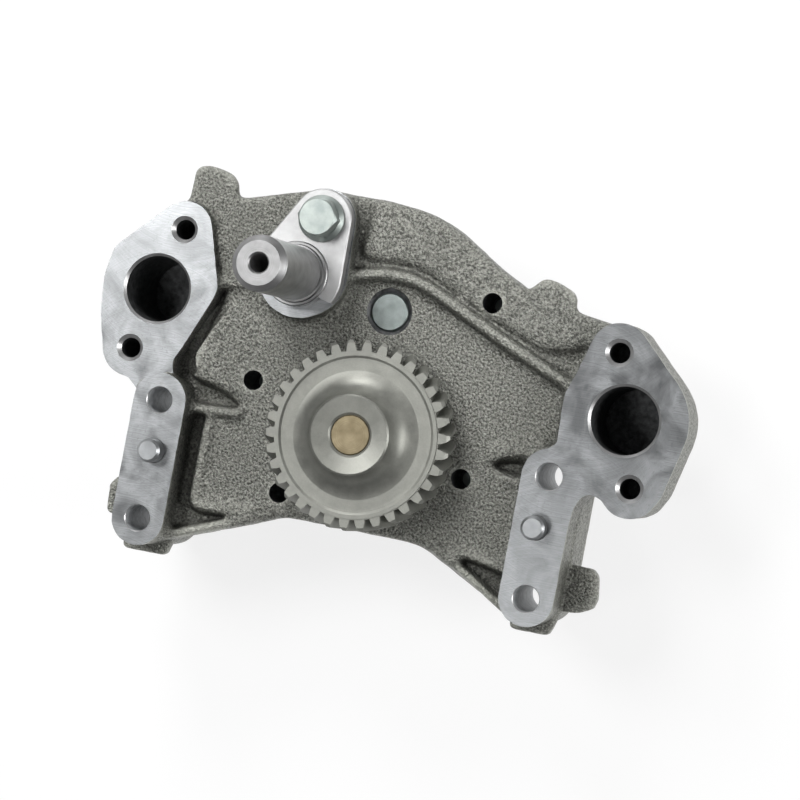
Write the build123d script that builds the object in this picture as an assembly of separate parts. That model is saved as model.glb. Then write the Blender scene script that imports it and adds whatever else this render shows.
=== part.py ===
from build123d import *
import os
from math import acos, atan, atan2, cos, degrees, hypot, pi, radians, sin, tan

os.makedirs("parts", exist_ok=True)

# Engine oil pump: an external-gear pump in an arch-shaped cast-iron housing.
# Millimetres. The origin is the centre of the four mounting-bolt holes, on the machined face of
# the two mounting pads. +Z points to the drive side, +X runs from the left pad to the right
# pad, and the arch that clears the crankshaft nose opens towards -Y.

# ---------------------------------------------------------------- driving dimensions
# Heights, measured down from the pad face at Z = 0
HOUSING_DEPTH = 50.0         # pad face to the joint with the rear cover
POCKET_DROP = 15.0           # lowest cast floor, beside the pads
FLOOR_DROP = 10.0            # cast floor round the drive gear
PLATEAU_DROP = 6.5           # cast shoulder beyond the long rib
TOP_LUG_DROP = 9.0           # upper lugs, level with the cast surface beside them
PARTING_DROP = 20.0          # parting line of the mould, and the front of the lower lugs
PARTING_STEP = 0.8           # the castings are this much wider behind the parting line
LUG_THICKNESS = 6.0
LEFT_FLANGE_DROP = 4.0       # the left port flange is machined a little lower
FLANGE_DEPTH = 33.0          # the thick part of a port flange, below the pad face

TOP_EDGE_Y = 126.4           # crown of the casting, measured from the pad holes' centre
ARCH_X = 2.8                 # middle of the arch that clears the crankshaft nose
ARCH_Y = -13.4
ARCH_HALF_WIDTH = 28.0
LONG_RIB_WIDTH = 5.2
LONG_RIB_DROP = 4.6
SWELL_SLOPE = 3.6            # degrees, the floor's rise over the left passage
ROUND_MARK = (-8.6, 104.3)   # a low round pad left by the mould

# Mounting pads
PAD_SPACING_X = 170.0
PAD_SPACING_Y = 50.8
PAD_WIDTH = 23.0
PAD_HOLE = 11.0
PAD_RELIEF = 12.4            # wider lower part of a pad hole
PAD_RELIEF_DROP = 9.0
DOWEL_DIAMETER = 10.0
DOWEL_SEAT = 10.02           # the pressed end and its socket
DOWEL_PROUD = 8.0
DOWEL_SEATED = 14.0
DOWEL_SPACING = 166.8
DOWEL_Y = 3.9
DOWEL_CHAMFER = 1.1
DOWEL_GROOVE = 0.5           # width of the relief groove where the dowel leaves its socket
DOWEL_GROOVE_DEPTH = 0.25

# Port flanges
LEFT_PORT = (-96.5, 71.5)
RIGHT_PORT = (111.1, 53.5)
PORT_BORE = 28.0
PORT_CHAMFER = 1.1
PORT_BOLT_SPACING = 55.4     # hole to hole, across the port
PORT_BOLT_TILT = 15.0        # degrees from Y, the left pair one way and the right pair the other
PORT_BOLT_DEPTH = 24.0
PORT_WALL = 6.0              # cast wall round the port behind the flange
CAST_WALL = 5.0              # cast wall round the passages
STAY_WIDTH = 9.0             # webs that stiffen the plate between the pads and the pump body
STAY_DROP = 12.0             # their foot, in front of the cover joint
PORT_BOLT_CHAMFER = 1.6
LEFT_FLANGE_RADIUS = 24.4
RIGHT_FLANGE_RADIUS = 26.2
FLANGE_EAR_RADIUS = 12.2
PASSAGE_BORE = 21.0
PASSAGE_RISE = 16.0          # centre line of the cored passages, above the cover joint

# Threads are modelled at their core diameter
M10_CORE = 8.5
M10_CLEARANCE_HOLE = 11.0
M8_CORE = 6.8
M8_CLEARANCE_HOLE = 9.0
SCREW_FIT = 0.05             # gap all round a screw's core and a loose piece

# Pump gears and their chamber
DRIVE_AXIS = (3.8, 26.95)
PUMP_TEETH = 11
PUMP_MODULE = 4.8
PUMP_PRESSURE_ANGLE = 25.0
PUMP_BACKLASH = 0.24         # taken off each tooth at the pitch circle
PUMP_GEAR_WIDTH = 24.0
TIP_CLEARANCE = 0.08
SIDE_CLEARANCE = 0.06
SHAFT_DIAMETER = 16.5
RUNNING_FIT = 0.03           # radial gap of a shaft in its bush
BUSH_WALL = 2.0

# Drive gear, helical
DRIVE_TEETH = 34
DRIVE_MODULE = 2.1           # normal module
DRIVE_PRESSURE_ANGLE = 20.0
DRIVE_HELIX = 18.0           # degrees, left hand
DRIVE_FACE = 15.0
DRIVE_GEAR_GAP = 3.0         # cast floor to the back of the teeth
DRIVE_TOOTH_CHAMFER = 1.3
DRIVE_RING_STEP = 0.5        # the ring inside the teeth stands proud of their ends
DRIVE_HUB_PROUD = 11.0       # hub ring above the tooth face
DRIVE_HUB_RING = 32.4        # diameter of the hub's crest
DRIVE_HUB_FOOT = 45.0        # diameter where the hub meets the web
DRIVE_WEB_DISH = 0.9
DRIVE_HUB_RECESS = 1.8       # depth of the cone round the shaft end

# Idler spindle, keeper plate and its bolt
SPINDLE_AXIS = (-35.2, 88.2)
SPINDLE_DIAMETER = 22.8
SPINDLE_COLLAR = 27.2
SPINDLE_STEM = 20.0          # the part that seats in the housing
SPINDLE_STEM_DEPTH = 24.0
SPINDLE_NOSE = 55.0          # nose above the collar's face
SPINDLE_NOSE_CHAMFER = 2.4
SPINDLE_OIL_BORE = 7.8
SPINDLE_OIL_GAP = 3.5        # oil pocket left under the stem
BOSS_DROP = 2.0              # machined boss face below the pad face
BOSS_RADIUS = 18.2
BOSS_CHEEK = 1.6             # the boss's wider side is shifted this much along X and Y
KEEPER_BOLT = (-28.7, 112.6)
KEEPER_THICKNESS = 5.5
KEEPER_END_RADIUS = 13.0
KEEPER_ROOT_RADIUS = 19.8
KEEPER_CUT = 5.0             # straight end of the plate, past the spindle's axis
KEEPER_BOLT_REACH = 18.0     # thread in the boss
KEEPER_HOLE_DEPTH = 22.0

# Hexagon heads
BOLT_HEAD_HEIGHT = 8.6
BOLT_ACROSS_FLATS = 15.0
BOLT_FLANGE = 19.6
BOLT_FLANGE_THICKNESS = 1.6
KEEPER_BOLT_TURN = 0.0       # degrees
SCREW_HEAD_HEIGHT = 5.3
SCREW_ACROSS_FLATS = 13.0

# Rear cover
COVER_THICKNESS = 12.0
COVER_DOME = 11.0            # flat-backed bearing dome behind the plate
COVER_DOME_RADIUS = 22.0
COVER_RADIUS = 36.3
COVER_EAR_RADIUS = 8.4
COVER_MARGIN = 0.8           # the seat on the housing stands out this much round the cover
COVER_SCREW_GRIP = 20.0      # thread engaged in the housing
THROUGH_HOLE = 8.5           # front end of four screw holes, drilled wider than their thread
THROUGH_SCREWS = ((-48.9, 40.9), (47.0, 91.0), (47.0, 17.0), (-28.9, -3.7))
BLIND_SCREWS = ((-8.0, 116.5), (-44.0, 104.0))
COVER_DOWELS = ((45.5, 73.0), (-38.5, 11.5))
COVER_DOWEL_DIAMETER = 8.0
COVER_DOWEL_LENGTH = 18.0
BUSH_FLOOR = 5.0             # metal left behind the drive shaft's rear bush
TAIL_FLOOR = 7.0             # metal left behind the driven shaft

# Relief valve, its bore runs along Y from the arch wall up to the right passage
VALVE_X = 63.5
VALVE_RISE = 17.0            # above the cover joint
VALVE_BORE = 18.0
VALVE_SEAT_BORE = 13.0
VALVE_SEAT_Y = 38.0
VALVE_MOUTH_Y = -19.0        # spot face that the plug's head seats on
VALVE_FIT = 0.03             # radial gap of the piston
PISTON_LENGTH = 20.0
PISTON_WALL = 2.6
PISTON_CROWN = 5.0
SPRING_WIRE = 2.2
SPRING_TURNS = 6
PLUG_HEAD = 25.0
PLUG_HEAD_THICKNESS = 4.0
PLUG_THREAD = 20.0
PLUG_LENGTH = 12.0
PLUG_SOCKET = 10.0           # hexagon key, across flats
PLUG_SOCKET_DEPTH = 7.5
SEAL_THICKNESS = 1.5
SEAL_FIT = 0.2               # radial gap of the washer round the thread
VALVE_DRAIN = 8.0

# Oil drilling that feeds the spindle
FEED_DRILLING = 6.0
FEED_BELOW_SOCKET = 1.0      # its centre line, below the floor of the spindle's socket
FEED_INNER_Y = 58.0          # it ends inside the left passage
GALLERY_PLUG = 10.0
GALLERY_PLUG_LENGTH = 7.0
GALLERY_WALL = 3.5

# ---------------------------------------------------------------- sizes that follow
REAR_Z = -HOUSING_DEPTH
FLOOR_Z = -FLOOR_DROP
BOSS_Z = -BOSS_DROP
PASSAGE_Z = REAR_Z + PASSAGE_RISE
VALVE_Z = REAR_Z + VALVE_RISE
FEED_Z = BOSS_Z - SPINDLE_STEM_DEPTH - FEED_BELOW_SOCKET
COVER_BACK_Z = REAR_Z - COVER_THICKNESS
DOME_BACK_Z = COVER_BACK_Z - COVER_DOME
BUSH_BACK_Z = DOME_BACK_Z + BUSH_FLOOR
TAIL_Z = DOME_BACK_Z + TAIL_FLOOR

PLATE_BACK_Z = -PARTING_DROP

PUMP_CENTRES = PUMP_TEETH * PUMP_MODULE
GALLERY_FACE_Y = TOP_EDGE_Y - 2.0   # end of the drilling's own barrel
GALLERY_PLUG_Y = GALLERY_FACE_Y - GALLERY_PLUG_LENGTH
DRIVEN_AXIS = (DRIVE_AXIS[0], DRIVE_AXIS[1] + PUMP_CENTRES)
MESH_POINT = (DRIVE_AXIS[0], DRIVE_AXIS[1] + PUMP_CENTRES / 2)
PUMP_TIP_RADIUS = PUMP_MODULE * (PUMP_TEETH / 2 + 1)
CHAMBER_RADIUS = PUMP_TIP_RADIUS + TIP_CLEARANCE
CHAMBER_FRONT_Z = REAR_Z + PUMP_GEAR_WIDTH + 2 * SIDE_CLEARANCE
PUMP_GEAR_Z = REAR_Z + SIDE_CLEARANCE
SHAFT_RADIUS = SHAFT_DIAMETER / 2
BUSH_BORE = SHAFT_RADIUS + RUNNING_FIT
BUSH_RADIUS = SHAFT_RADIUS + BUSH_WALL

DRIVE_BACK_Z = FLOOR_Z + DRIVE_GEAR_GAP
DRIVE_FRONT_Z = DRIVE_BACK_Z + DRIVE_FACE
DRIVE_HUB_Z = DRIVE_FRONT_Z + DRIVE_HUB_PROUD
SHAFT_END_Z = DRIVE_HUB_Z - DRIVE_HUB_RECESS

COLLAR_Z = BOSS_Z + KEEPER_THICKNESS + 1.2
NOSE_Z = COLLAR_Z + SPINDLE_NOSE

PAD_X = PAD_SPACING_X / 2
PAD_Y = PAD_SPACING_Y / 2


# ---------------------------------------------------------------- helpers
def rod(centre, radius, low, high):
    """A round bar or a bore's cutter along Z."""
    bar = Cylinder(radius, high - low, align=(Align.CENTER, Align.CENTER, Align.MIN))
    return Pos(centre[0], centre[1], low) * bar


def prism(corners, radius, low, high):
    """A straight-sided block on a rounded polygon. A corner (x, y, r) has a radius of its own."""
    arcs = []
    for index, corner in enumerate(corners):
        here = Vector(*corner[:2])
        back = (Vector(*corners[index - 1][:2]) - here).normalized()
        ahead = (Vector(*corners[(index + 1) % len(corners)][:2]) - here).normalized()
        bend = corner[2] if len(corner) > 2 else radius
        half = radians(back.get_angle(ahead)) / 2
        middle = here + (back + ahead).normalized() * (bend / sin(half) - bend)
        reach = bend / tan(half)
        arcs.append(ThreePointArc(here + back * reach, middle, here + ahead * reach))
    sides = [Line(arc @ 1, arcs[(index + 1) % len(arcs)] @ 0) for index, arc in enumerate(arcs)]
    face = make_face([curve.edge() for curve in arcs + sides])
    return extrude(Plane.XY.offset(low) * face, high - low)


def hulled(circles, low, high):
    """A block whose outline is the taut belt round some circles (x, y, radius)."""
    rims = [Pos(x, y) * Circle(radius).edge() for x, y, radius in circles]
    return extrude(Plane.XY.offset(low) * make_hull(rims), high - low)


def soften_top(solid, radius):
    """Round the upper edge of a block."""
    return fillet(solid.edges().group_by(Axis.Z)[-1], radius)


def turned(points, centre, low=0.0):
    """A solid of revolution about Z from a closed (radius, height) profile."""
    profile = Plane.XZ * make_face(Polyline(*points, close=True))
    return Pos(centre[0], centre[1], low) * revolve(profile, Axis.Z)


def countersink(centre, radius, face_z, depth):
    """Cutter for a 45 degree chamfer at the mouth of a hole that opens to +Z."""
    cone = Cone(radius, radius + depth, depth, align=(Align.CENTER, Align.CENTER, Align.MAX))
    return Pos(centre[0], centre[1], face_z) * cone


def port_bolts(port, tilt):
    """The two bolt holes of a port flange; tilt is in degrees from +Y towards +X."""
    reach = PORT_BOLT_SPACING / 2
    dx, dy = reach * sin(radians(tilt)), reach * cos(radians(tilt))
    return ((port[0] + dx, port[1] + dy), (port[0] - dx, port[1] - dy))


LEFT_BOLTS = port_bolts(LEFT_PORT, PORT_BOLT_TILT)
RIGHT_BOLTS = port_bolts(RIGHT_PORT, -PORT_BOLT_TILT)


# ---------------------------------------------------------------- gear teeth
def involute(angle):
    return tan(angle) - angle


def gear_face(teeth, module, pressure_angle, backlash, helix=0.0, phase=0.0):
    """The transverse outline of an external gear. Tooth 0 points to the angle phase (degrees)."""
    transverse = module / cos(radians(helix))
    pressure = atan(tan(radians(pressure_angle)) / cos(radians(helix)))
    pitch = transverse * teeth / 2
    base = pitch * cos(pressure)
    tip = pitch + module
    root = pitch - 1.25 * module
    half_at_pitch = pi / (2 * teeth) - backlash / (2 * pitch)

    def half_angle(radius):
        turn = acos(base / radius) if radius > base else 0.0
        return half_at_pitch + involute(pressure) - involute(turn)

    def at(radius, angle):
        return (radius * cos(angle), radius * sin(angle))

    start = max(base, root)
    middle = (start + 2 * tip) / 3
    edges = []
    for index in range(teeth):
        axis = radians(phase) + 2 * pi * index / teeth
        step = 2 * pi / teeth
        low, mid, high = half_angle(start), half_angle(middle), half_angle(tip)
        right_foot, left_foot = at(start, axis - low), at(start, axis + low)
        right_root, left_root = at(root, axis - low), at(root, axis + low)
        next_root = at(root, axis + step - low)
        if start > root + 0.01:
            edges.append(Line(right_root, right_foot))
        edges.append(ThreePointArc(right_foot, at(middle, axis - mid), at(tip, axis - high)))
        edges.append(ThreePointArc(at(tip, axis - high), at(tip, axis), at(tip, axis + high)))
        edges.append(ThreePointArc(at(tip, axis + high), at(middle, axis + mid), left_foot))
        if start > root + 0.01:
            edges.append(Line(left_foot, left_root))
        edges.append(ThreePointArc(left_root, at(root, axis + step / 2), next_root))
    return make_face(Wire([curve.edge() for curve in edges]))


# ---------------------------------------------------------------- housing, front half
# The mould parts at PARTING_DROP. The front half is a plate with the full outline, and its cast
# relief; the rear half is the pump body, drawn in so that it stays behind the plate.
def plate_outline():
    """The plate's edge at its lowest level, a little inside the surfaces that stand on it."""
    return [
        (-PAD_X, -33.0), (-PAD_X + 12.0, -33.0),
        (ARCH_X - ARCH_HALF_WIDTH - 4.0, ARCH_Y + 1.0, 20.0),
        (ARCH_X + ARCH_HALF_WIDTH, ARCH_Y + 1.0, 20.0),
        (PAD_X - 9.0, -35.0), (PAD_X, -34.5), (PAD_X + 4.0, 22.0),
        (RIGHT_PORT[0], 32.0), (RIGHT_PORT[0] + 8.0, RIGHT_PORT[1]),
        (RIGHT_PORT[0] - 6.0, 88.0), (81.0, 92.0), (57.0, 98.6), (24.0, 118.6),
        (3.0, TOP_EDGE_Y - 2.0), (-31.0, TOP_EDGE_Y - 1.4), (-56.0, 118.4), (-73.0, 113.0),
        (LEFT_PORT[0] - 10.0, LEFT_PORT[1] + 12.0), (LEFT_PORT[0] - 12.0, LEFT_PORT[1] - 10.0),
        (-PAD_X - 2.0, 30.0),
    ]


def left_flange():
    """Four-cornered flange: two bolt ears, the rim round the port and blunt corners between."""
    x, y = LEFT_PORT
    corners = [(x - 17.3, y + 11.7, 5.5), (x - 18.0, y - 14.0, 5.0), (x + 23.9, y + 4.1, 2.5),
               (x + 8.2, y - 28.5, 4.0)]
    return [(x, y, LEFT_FLANGE_RADIUS)] + [(*bolt, FLANGE_EAR_RADIUS) for bolt in LEFT_BOLTS] + corners


def right_flange():
    x, y = RIGHT_PORT
    corner = (x + 12.9, y - 25.0, 8.0)
    return [(x, y, RIGHT_FLANGE_RADIUS), corner] + [(*bolt, FLANGE_EAR_RADIUS) for bolt in RIGHT_BOLTS]


def flange_webs():
    """What ties each flange to its pad, machined with the flange."""
    left = [
        (-112.0, 46.0), (-105.0, 35.0), (-PAD_X - 11.0, 27.0), (-PAD_X + 3.0, 33.0),
        (-84.3, 46.0), (-94.0, 58.0),
    ]
    right = [
        (PAD_X - 8.5, 27.0), (PAD_X - 7.0, 33.0), (85.5, 39.0), (85.0, 60.0), (92.0, 80.0),
        (RIGHT_PORT[0], 78.0), (116.0, 19.0), (109.5, 19.5), (103.0, 21.8, 3.0), (99.4, 19.6, 2.0),
        (PAD_X + 12.4, 15.0), (PAD_X + 11.0, 4.0),
    ]
    return [prism(left, 2.0, -FLANGE_DEPTH, -LEFT_FLANGE_DROP), prism(right, 1.6, -FLANGE_DEPTH, 0.0)]


def main_floor():
    """Raised floor over the chamber and passages; it stops short of the left pad to leave a valley."""
    outline = [
        (-66.9, -17.4), (-60.0, -18.8), (-50.0, -17.8), (-43.4, -17.6), (-40.0, -19.8),
        (ARCH_X - ARCH_HALF_WIDTH, ARCH_Y, 16.0), (ARCH_X + ARCH_HALF_WIDTH, ARCH_Y, 20.0),
        (44.0, -16.0), (54.0, -15.6), (65.0, -17.0), (PAD_X - 10.0, -19.5), (PAD_X - 8.0, 33.5),
        (86.0, 41.0), (96.0, 60.0), (102.0, 86.0), (80.5, 91.0), (56.0, 97.5), (23.0, 117.6),
        (2.0, TOP_EDGE_Y - 2.6), (-10.0, TOP_EDGE_Y - 0.7), (-33.0, TOP_EDGE_Y - 0.6),
        (-56.0, 118.0), (-74.0, 112.0), (-77.5, 98.0), (-73.8, 88.0), (-70.0, 81.0),
        (-68.0, 73.6), (-81.8, 47.2), (-81.4, 42.8), (-74.8, 36.8), (-61.0, 33.6),
        (-51.0, 28.0), (-52.0, 22.6), (-66.9, 21.4),
    ]
    floor = soften_top(prism(outline, 2.0, PLATE_BACK_Z, FLOOR_Z), 1.8)

    # The floor swells where the left passage runs close under it
    swell_outline = [
        (-45.0, 26.0), (-42.0, 77.0), (-61.7, 77.4), (-68.0, 73.2), (-81.6, 47.0), (-81.2, 43.0),
        (-74.8, 37.2), (-61.0, 34.0), (-52.0, 28.6),
    ]
    swell = prism(swell_outline, 1.6, PLATE_BACK_Z, FLOOR_Z + 6.0)
    above = Box(200, 300, 20, align=(Align.CENTER, Align.CENTER, Align.MIN))
    slope = Pos(swell_outline[0][0], 0, FLOOR_Z) * Rot(0, SWELL_SLOPE, 0)
    return floor + (swell - slope * above)


def shoulders():
    """The cast surfaces that stand above the main floor, left of the boss and beyond the long rib."""
    right = [
        (-12.0, 99.2, 4.0), (12.0, 101.2, 30.0), (36.0, 89.4, 16.0), (70.0, 75.4, 12.0), (82.0, 77.0, 8.0),
        (97.0, 83.0), (108.0, 83.0), (108.0, 90.0), (81.0, 93.8), (60.7, 98.9, 12.0),
        (47.0, 105.8, 30.0), (19.0, 123.4, 58.0), (-11.0, TOP_EDGE_Y - 0.4, 3.0),
    ]
    left = [
        (-54.0, 84.4), (-34.0, 84.0), (-24.0, 125.4), (-33.0, TOP_EDGE_Y - 0.2, 8.0), (-54.0, 120.4),
        (-70.0, 115.8), (-82.0, 112.0), (-76.6, 97.0), (-73.0, 88.4), (-69.6, 85.0), (-65.0, 84.0),
    ]
    return [soften_top(prism(right, 3.0, PLATE_BACK_Z, -PLATEAU_DROP), 2.0),
            soften_top(prism(left, 2.0, PLATE_BACK_Z, -TOP_LUG_DROP), 1.2)]


def bead(run, width, drop, bend=3.0):
    """A rib with a rounded crest along a bent run."""
    path = FilletPolyline(*run, radius=bend) if len(run) > 2 else Line(*run)
    face = make_face(offset(path.edges(), width / 2, side=Side.BOTH, closed=True))
    block = extrude(Plane.XY.offset(PLATE_BACK_Z) * face, -drop - PLATE_BACK_Z)
    return soften_top(block, 0.38 * width)


def ribs():
    long_rib = bead(((-17.0, 90.9), (8.0, 98.0), (55.0, 76.2), (86.0, 63.0)),
                    LONG_RIB_WIDTH, LONG_RIB_DROP, 44.0)
    short_rib = bead(((-72.0, 24.6), (-52.5, 25.8)), 4.6, 7.2)
    left_corner = bead(((-65.1, 19.4), (-65.4, -16.2), (-54.7, -15.6), (-39.5, -13.6)), 4.4, 7.4)
    left_rim = bead(((-75.0, -31.0), (-38.0, -16.6)), 4.4, 7.4)
    right_rim = bead(((42.0, -14.2), (56.0, -20.8), (75.6, -32.6)), 3.8, 8.0, 8.0)
    right_crest = bead(((47.6, -14.6), (55.4, -13.2), (65.3, -15.0), (74.0, -17.0)), 3.8, 7.6)
    over_pocket = bead(((58.5, 28.4), (63.0, 31.4), (76.0, 35.0)), 5.4, 7.8)
    under_pocket = bead(((62.0, 21.0), (74.0, 19.2)), 3.6, 8.6)
    at_right_flange = bead(((85.0, 64.0), (84.8, 49.0), (87.0, 40.0)), 4.4, 7.0)
    from_left_flange = hulled([(-72.6, 79.4, 3.2), (-55.0, 81.2, 1.4)], PLATE_BACK_Z, -6.6)
    return [long_rib, short_rib, left_corner, left_rim, right_rim, right_crest, over_pocket,
            under_pocket, at_right_flange, soften_top(from_left_flange, 1.0)]


def boss_outline(grow):
    """The belt round the spindle and the keeper bolt that the boss and the keeper share."""
    spindle = (SPINDLE_AXIS[0], SPINDLE_AXIS[1], KEEPER_ROOT_RADIUS + grow)
    return [spindle, (*KEEPER_BOLT, KEEPER_END_RADIUS + grow)]


def spindle_boss():
    """The boss stands on its own thick root, which takes the spindle's socket."""
    x, y = SPINDLE_AXIS
    foot = (x, y, BOSS_RADIUS)
    cheek = (x + BOSS_CHEEK, y + BOSS_CHEEK, BOSS_RADIUS + 0.8)
    nose = (*KEEPER_BOLT, KEEPER_END_RADIUS + 0.2)
    root = hulled([(x, y, BOSS_RADIUS - 3.0), (*KEEPER_BOLT, KEEPER_END_RADIUS - 4.0)], REAR_Z, PLATE_BACK_Z)
    return hulled([foot, cheek, nose], PLATE_BACK_Z, BOSS_Z) + root


def lugs():
    """Rough lugs that the foundry and the first machining cuts clamp on."""
    top_left = [(-92.5, 104.0), (-91.6, 126.4), (-85.0, 127.8), (-75.2, 125.8), (-71.4, 122.4),
                (-69.8, 108.0)]
    top_right = [(57.0, 92.0), (60.6, 99.2), (66.0, 105.6), (70.0, 105.4), (79.6, 102.0),
                 (82.0, 98.8), (81.0, 88.0)]
    left_foot = [(-97.0, -30.0), (-96.2, -40.8), (-76.6, -40.6), (-73.6, -30.0)]
    left_side = [(-90.0, -10.0), (-104.0, -10.8), (-107.2, -15.0), (-106.4, -27.4), (-90.0, -28.6)]
    right_foot = [(75.6, -30.0), (76.6, -40.6), (93.6, -40.2), (96.8, -30.0)]
    right_side = [(90.0, -9.2), (106.8, -9.4), (109.6, -11.8), (111.0, -21.0), (110.0, -25.6),
                  (104.0, -28.6), (90.0, -30.0)]
    places = [(top_left, TOP_LUG_DROP), (top_right, PLATEAU_DROP)]
    places += [(outline, PARTING_DROP) for outline in (left_foot, left_side, right_foot, right_side)]
    return [
        soften_top(prism(outline, 2.0, -drop - LUG_THICKNESS, -drop), 1.0) for outline, drop in places
    ]


def pad_pocket():
    """The wedge-shaped hollow in the cast floor beside the right pad."""
    outline = [(56.0, 26.0), (63.0, 23.6), (73.0, 22.4), (73.4, 29.0), (62.0, 27.6)]
    return prism(outline, 0.8, -POCKET_DROP, 0.0)


def front_half():
    plate = soften_top(prism(plate_outline(), 6.0, PLATE_BACK_Z, -POCKET_DROP), 2.0)
    plate += main_floor()
    plate += shoulders()
    plate += rod(ROUND_MARK, 3.6, PLATE_BACK_Z, 0.4 - PLATEAU_DROP)
    plate -= pad_pocket()
    plate += ribs()
    plate += hulled(left_flange(), -FLANGE_DEPTH, -LEFT_FLANGE_DROP)
    plate += hulled(right_flange(), -FLANGE_DEPTH, 0.0)
    plate += flange_webs()
    plate += spindle_boss()
    return plate + lugs()


# ---------------------------------------------------------------- housing, rear half
def pad_block(side):
    """A pad and its column. Below the mould's parting line the column is a little wider."""

    def column(radius, face_z):
        ends = [(side * PAD_X, y, radius) for y in (PAD_Y, -PAD_Y)]
        return hulled(ends, REAR_Z, face_z)

    foot = column(PAD_WIDTH / 2 + PARTING_STEP, -PARTING_DROP)
    return column(PAD_WIDTH / 2, 0.0) + soften_top(foot, 0.5)


def barrel(start, end, radius, centre_z):
    """A round-backed body along a bore that runs parallel to the cover joint."""
    dx, dy = end[0] - start[0], end[1] - start[1]
    bar = Cylinder(radius, hypot(dx, dy), align=(Align.CENTER, Align.CENTER, Align.MIN))
    return Pos(start[0], start[1], centre_z) * Rot(0, 0, degrees(atan2(dy, dx))) * Rot(0, 90, 0) * bar


def rear_half():
    """The pump body: the cover's seat, barrels round the bores, and walls out to the pads."""
    seat = [(x, y, radius + COVER_MARGIN) for x, y, radius in cover_circles()]
    body = hulled(seat, REAR_Z, PLATE_BACK_Z)
    for port in (LEFT_PORT, RIGHT_PORT):
        body += barrel(port, MESH_POINT, PASSAGE_BORE / 2 + CAST_WALL, PASSAGE_Z)
        body += rod(port, PORT_BORE / 2 + PORT_WALL, PASSAGE_Z - PASSAGE_BORE / 2 - CAST_WALL, PLATE_BACK_Z)
    body += along_y(VALVE_X, VALVE_Z, PLUG_HEAD / 2 + 1.0, VALVE_MOUTH_Y, RIGHT_PORT[1])
    body += along_y(SPINDLE_AXIS[0], FEED_Z, GALLERY_PLUG / 2 + GALLERY_WALL, MESH_POINT[1], GALLERY_FACE_Y)
    for side in (-1, 1):
        body += pad_block(side)
        for y in (PAD_Y, -PAD_Y):
            stay = [(side * PAD_X, y, STAY_WIDTH / 2), (*DRIVE_AXIS, STAY_WIDTH / 2)]
            body += hulled(stay, REAR_Z + STAY_DROP, PLATE_BACK_Z)
    return body


def casting():
    """The housing before machining."""
    return front_half() + rear_half()


def machining():
    """Everything that is cut out of the casting, as one list of cutters."""
    cuts = []

    # Mounting pads: bolt holes with a wider lower part, and the dowel sockets
    for x in (-PAD_X, PAD_X):
        for y in (-PAD_Y, PAD_Y):
            cuts.append(rod((x, y), PAD_HOLE / 2, REAR_Z - 1, 1))
            cuts.append(rod((x, y), PAD_RELIEF / 2, REAR_Z - 1, -PAD_RELIEF_DROP))
    for side in (-1, 1):
        cuts.append(rod((side * DOWEL_SPACING / 2, DOWEL_Y), DOWEL_SEAT / 2, -DOWEL_SEATED, 1))

    # Ports, their bolt holes and the cored passages to the chamber
    faces = ((LEFT_PORT, LEFT_BOLTS, -LEFT_FLANGE_DROP), (RIGHT_PORT, RIGHT_BOLTS, 0.0))
    for port, bolts, face_z in faces:
        cuts.append(rod(port, PORT_BORE / 2, PASSAGE_Z - PASSAGE_BORE / 2, face_z + 1))
        cuts.append(countersink(port, PORT_BORE / 2, face_z, PORT_CHAMFER))
        cuts.append(passage(port))
        for bolt in bolts:
            cuts.append(rod(bolt, M10_CORE / 2, face_z - PORT_BOLT_DEPTH, face_z + 1))
            cuts.append(countersink(bolt, M10_CORE / 2, face_z, PORT_BOLT_CHAMFER))

    # Pump chamber, open to the cover joint
    for axis in (DRIVE_AXIS, DRIVEN_AXIS):
        cuts.append(rod(axis, CHAMBER_RADIUS, REAR_Z - 1, CHAMBER_FRONT_Z))
    cuts.append(rod(DRIVE_AXIS, BUSH_RADIUS, CHAMBER_FRONT_Z - 1, 1))
    cuts.append(rod(DRIVEN_AXIS, SHAFT_RADIUS, CHAMBER_FRONT_Z - 1, 1))
    cuts.append(countersink(DRIVEN_AXIS, SHAFT_RADIUS, FLOOR_Z, 1.6))

    # Cover screws and dowels
    for place in THROUGH_SCREWS + BLIND_SCREWS:
        cuts.append(rod(place, M8_CORE / 2, REAR_Z - 1, REAR_Z + COVER_SCREW_GRIP + 3))
    for place in THROUGH_SCREWS:
        cuts.append(rod(place, THROUGH_HOLE / 2, REAR_Z + COVER_SCREW_GRIP, 1))
    for place in COVER_DOWELS:
        cuts.append(rod(place, COVER_DOWEL_DIAMETER / 2, REAR_Z - 1, REAR_Z + COVER_DOWEL_LENGTH / 2))

    # Spindle socket, keeper bolt and the oil drilling between them
    cuts.append(rod(SPINDLE_AXIS, SPINDLE_STEM / 2, BOSS_Z - SPINDLE_STEM_DEPTH, 1))
    cuts.append(rod(KEEPER_BOLT, M10_CORE / 2, BOSS_Z - KEEPER_HOLE_DEPTH, 1))
    return cuts + oil_feed() + valve_bores()


def passage(port):
    """A cored round passage from a port's bore to the chamber, ending inside its wall."""
    length = hypot(MESH_POINT[0] - port[0], MESH_POINT[1] - port[1])
    share = 1 - 0.75 * CHAMBER_RADIUS / length
    end = (port[0] + share * (MESH_POINT[0] - port[0]), port[1] + share * (MESH_POINT[1] - port[1]))
    return barrel(port, end, PASSAGE_BORE / 2, PASSAGE_Z)


def along_y(x, z, radius, low, high):
    """A bore's cutter, or a bar, along Y."""
    bar = Cylinder(radius, high - low, align=(Align.CENTER, Align.CENTER, Align.MIN))
    return Pos(x, low, z) * Rot(-90, 0, 0) * bar


def oil_feed():
    """A drilling from the top wall, under the spindle's socket, to the left passage."""
    x = SPINDLE_AXIS[0]
    drilling = along_y(x, FEED_Z, FEED_DRILLING / 2, FEED_INNER_Y, TOP_EDGE_Y + 1)
    plug_seat = along_y(x, FEED_Z, GALLERY_PLUG / 2, GALLERY_PLUG_Y, TOP_EDGE_Y + 2)
    return [drilling, plug_seat]


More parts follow.
